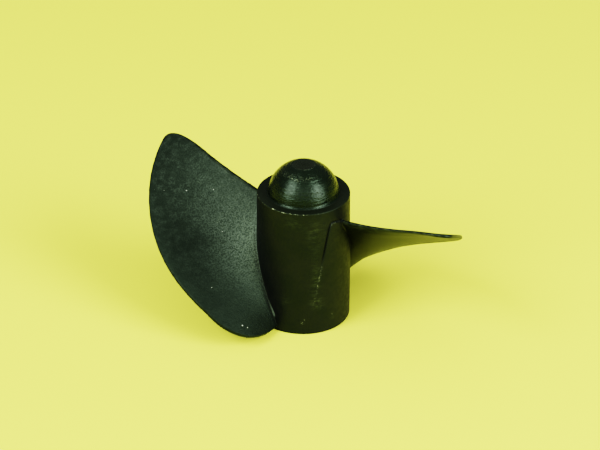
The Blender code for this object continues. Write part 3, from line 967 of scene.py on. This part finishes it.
# Insert: a hexagonal brass bush moulded into the base, flush with it. It is turned and drilled, and
# tapped M4 for the shaft's end, with a chamfer at the mouth and the drill's point left at the bottom.
INSERT_ACROSS_FLATS = 7.0 * MM
INSERT_LENGTH = 12.0 * MM
INSERT_EDGE = 0.12 * MM
INSERT_COLUMNS = 96
FLAT_START = 1.0 * MM
FLAT_ROWS = 8
FACE_RADII = (2.5 * MM, 2.9 * MM)
THREAD_PITCH = 0.7 * MM
THREAD_OUTER = 2.0 * MM
THREAD_INNER = 1.65 * MM
THREAD_DEPTH = 10.0 * MM
THREAD_START = 0.35 * MM
THREAD_RUN_OUT = 0.8 * MM
THREAD_ROWS = 140
TOOTH_SLOPE = 1.35
TOOTH_ROOT = 0.12
MOUTH_RADIUS = 2.15 * MM
DRILL_HALF_ANGLE = math.radians(59)
DRILL_POINT_SHARE = 0.3
BRASS_COLOURS = ((0.60, 0.42, 0.18, 1.0), (0.76, 0.57, 0.27, 1.0))
FILM_SIZE = 1.2 * MM
FILM_RANGE = (0.3, 0.7)
BRASS_ROUGHNESS = (0.26, 0.44)
TOOL_MARK = 0.12 * MM
TOOL_MARK_DEPTH = 0.0015 * MM


def insert_parts():
    """The bush as one run of rows: from the point of the bore down its thread, r = inner + (outer -
    inner) * triangle(height / pitch - turn), out over the face, up the flats and over the top."""
    angle = math.tau * np.arange(INSERT_COLUMNS) / INSERT_COLUMNS
    hexagon = hexagon_radius(angle, INSERT_ACROSS_FLATS)
    heights = np.linspace(THREAD_DEPTH, THREAD_START, THREAD_ROWS)[:, None]
    phase = np.mod(heights / THREAD_PITCH - angle / math.tau, 1.0)
    tooth = np.clip(TOOTH_SLOPE * (1 - np.abs(2 * phase - 1)) - TOOTH_ROOT, 0.0, 1.0)
    fade = np.clip((THREAD_DEPTH - THREAD_RUN_OUT - heights) / THREAD_RUN_OUT, 0.0, 1.0)
    bore = THREAD_INNER + (THREAD_OUTER - THREAD_INNER) * tooth * fade
    mouth = np.maximum(bore, MOUTH_RADIUS - heights)
    point = THREAD_DEPTH + THREAD_INNER / math.tan(DRILL_HALF_ANGLE)
    flat_heights = np.linspace(FLAT_START, INSERT_LENGTH - INSERT_EDGE, FLAT_ROWS)
    outline = [(DRILL_POINT_SHARE * THREAD_INNER, point - DRILL_POINT_SHARE * (point - THREAD_DEPTH))]
    outline += zip(mouth, heights)
    outline += [(radius, 0.0) for radius in (MOUTH_RADIUS, *FACE_RADII, hexagon - INSERT_EDGE)]
    outline += [(hexagon, height) for height in (INSERT_EDGE / 2, *flat_heights)]
    outline += [(hexagon - INSERT_EDGE, INSERT_LENGTH), (hexagon / 2, INSERT_LENGTH)]
    count = len(outline)
    points = turned_rows([(*row, 0.0) for row in outline], angle)[0].reshape(-1, 3)
    points = np.vstack([points, [0.0, 0.0, point], [0.0, 0.0, INSERT_LENGTH]])
    last = count * INSERT_COLUMNS
    first_ring = np.arange(INSERT_COLUMNS)
    tip = joined(np.roll(first_ring, -1), first_ring, np.full(INSERT_COLUMNS, last))
    return [
        (points, row_faces(count, INSERT_COLUMNS), {}),
        (points, tip, {}),
        (points, capped(count, INSERT_COLUMNS, last + 1), {}),
    ]


def brass():
    """Turned brass: warm metal with faint tool marks round the axis and a dull, uneven film."""
    made = Finish("brass_turned")
    radius = made.coordinates()[3]
    made.bump(made.math("SINE", made.product(radius, math.tau / TOOL_MARK)), TOOL_MARK_DEPTH)
    film = made.noise(FILM_SIZE, 4.0)
    made.shade(
        {
            "Base Color": made.mix(made.ramp(film, *FILM_RANGE), *BRASS_COLOURS),
            "Roughness": made.ramp(film, *FILM_RANGE, *BRASS_ROUGHNESS),
            "Metallic": 1.0,
        }
    )
    return made.material


insert = closed_piece("threaded_insert_bush", insert_parts(), brass(), math.radians(30))
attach(insert, "root")
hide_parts("threaded_insert")

# Stage: a plain pale yellow sheet, two soft lights in front, to the left and to the right, in a dim
# room, and a camera with a long lens that looks down at the propeller by 30 degrees from 36 cm away.
SHEET_SIZE = 3.0
MATT_YELLOW = {"Base Color": (0.83, 0.79, 0.135, 1.0), "Roughness": 0.9, "Specular IOR Level": 0.1}
LIGHT_COLOUR = (0.92, 1.0, 0.94)
LIGHT_AIM_HEIGHT = 10.0 * MM
ROOM_LEAST = 0.12
ROOM_OVERHEAD = 0.4
ROOM_FRONT = 2.1
ROOM_FRONT_HEIGHT = 0.53
ROOM_FRONT_SPREAD = 0.25
ROOM_COLOUR = (0.95, 1.0, 0.93, 1.0)
IMAGE_WIDTH = 600
FOCAL_PIXELS = 2780.8
SENSOR_WIDTH = 36.0
CAMERA_DISTANCE = 360.0 * MM
CAMERA_DOWN = math.radians(30.5)
CAMERA_TURN = -0.00139
CAMERA_ROLL = 0.0061
AIM_HEIGHT = 12.9 * MM


def sheet_piece():
    """A level square of plain matt sheet."""
    half = SHEET_SIZE / 2
    corners = [(-half, -half, 0.0), (half, -half, 0.0), (half, half, 0.0), (-half, half, 0.0)]
    mesh = bpy.data.meshes.new("pale_sheet")
    mesh.from_pydata(corners, [], [(0, 1, 2, 3)])
    made = Finish("pale_yellow_sheet")
    made.shade(MATT_YELLOW)
    mesh.materials.append(made.material)
    return put("pale_sheet", mesh)


def facing(right, up, back, place):
    """The matrix of a thing with these axes at a place."""
    rows = np.eye(4)
    rows[:3] = np.array([right, up, back, place]).T
    return Matrix(rows.tolist())


def soft_light(name, azimuth, elevation, distance, size, power):
    """An upright area light that faces the propeller from a direction, in degrees."""
    data = bpy.data.lights.new(name, "AREA")
    data.shape = "RECTANGLE"
    data.energy = power
    data.color = LIGHT_COLOUR
    data.size, data.size_y = size
    a, e = math.radians(azimuth), math.radians(elevation)
    back = np.array([math.cos(a) * math.cos(e), math.sin(a) * math.cos(e), math.sin(e)])
    side = unit(np.cross([0.0, 0.0, 1.0], back))
    place = back * distance + [0.0, 0.0, LIGHT_AIM_HEIGHT]
    put(name, data).matrix_world = facing(side, np.cross(back, side), back, place)


def dim_room():
    """A room lit from the front: level = least + overhead * z + front * (-y) * exp(-((z - m) / w)^2),
    where (x, y, z) is the direction that is looked in."""
    world = bpy.data.worlds.new("room")
    world.use_nodes = True
    room = Nodes(world.node_tree)
    direction = room.add("ShaderNodeTexCoord").outputs["Generated"]
    _, y, z = room.add("ShaderNodeSeparateXYZ", {"Vector": direction}).outputs
    off = room.math("DIVIDE", room.math("SUBTRACT", z, ROOM_FRONT_HEIGHT), ROOM_FRONT_SPREAD)
    bell = room.math("EXPONENT", room.product(off, off, -1.0))
    front = room.product(room.math("MAXIMUM", room.product(y, -ROOM_FRONT), 0.0), bell)
    overhead = room.math("MULTIPLY_ADD", room.math("MAXIMUM", z, 0.0), ROOM_OVERHEAD, ROOM_LEAST)
    background = room.tree.nodes["Background"]
    room.set(background.inputs["Color"], ROOM_COLOUR)
    room.set(background.inputs["Strength"], room.math("ADD", front, overhead))
    return world


def camera_matrix():
    """The camera's axes and place: right, up and back, rolled a little about the view."""
    level = math.cos(CAMERA_DOWN)
    down = math.sin(CAMERA_DOWN)
    forward = np.array([math.sin(CAMERA_TURN) * level, math.cos(CAMERA_TURN) * level, -down])
    right = np.array([math.cos(CAMERA_TURN), -math.sin(CAMERA_TURN), 0.0])
    up = np.cross(right, forward)
    c, s = math.cos(CAMERA_ROLL), math.sin(CAMERA_ROLL)
    place = [0.0, -CAMERA_DISTANCE * level, AIM_HEIGHT + CAMERA_DISTANCE * down]
    return facing(right * c + up * s, up * c - right * s, -forward, place)


sheet_piece()
soft_light("window_left", 217, 36, 0.45, (0.25, 0.32), 1.95)
soft_light("window_right", 325, 28, 0.36, (0.20, 0.26), 1.45)
bpy.context.scene.world = dim_room()

camera_data = bpy.data.cameras.new("camera")
camera_data.sensor_width = SENSOR_WIDTH
camera_data.lens = FOCAL_PIXELS * SENSOR_WIDTH / IMAGE_WIDTH
camera_data.clip_start = 0.01
camera = put("camera", camera_data)
camera.matrix_world = camera_matrix()
bpy.context.scene.camera = camera
bpy.context.scene.view_settings.view_transform = "Filmic"
bpy.context.scene.view_settings.look = "Very High Contrast"
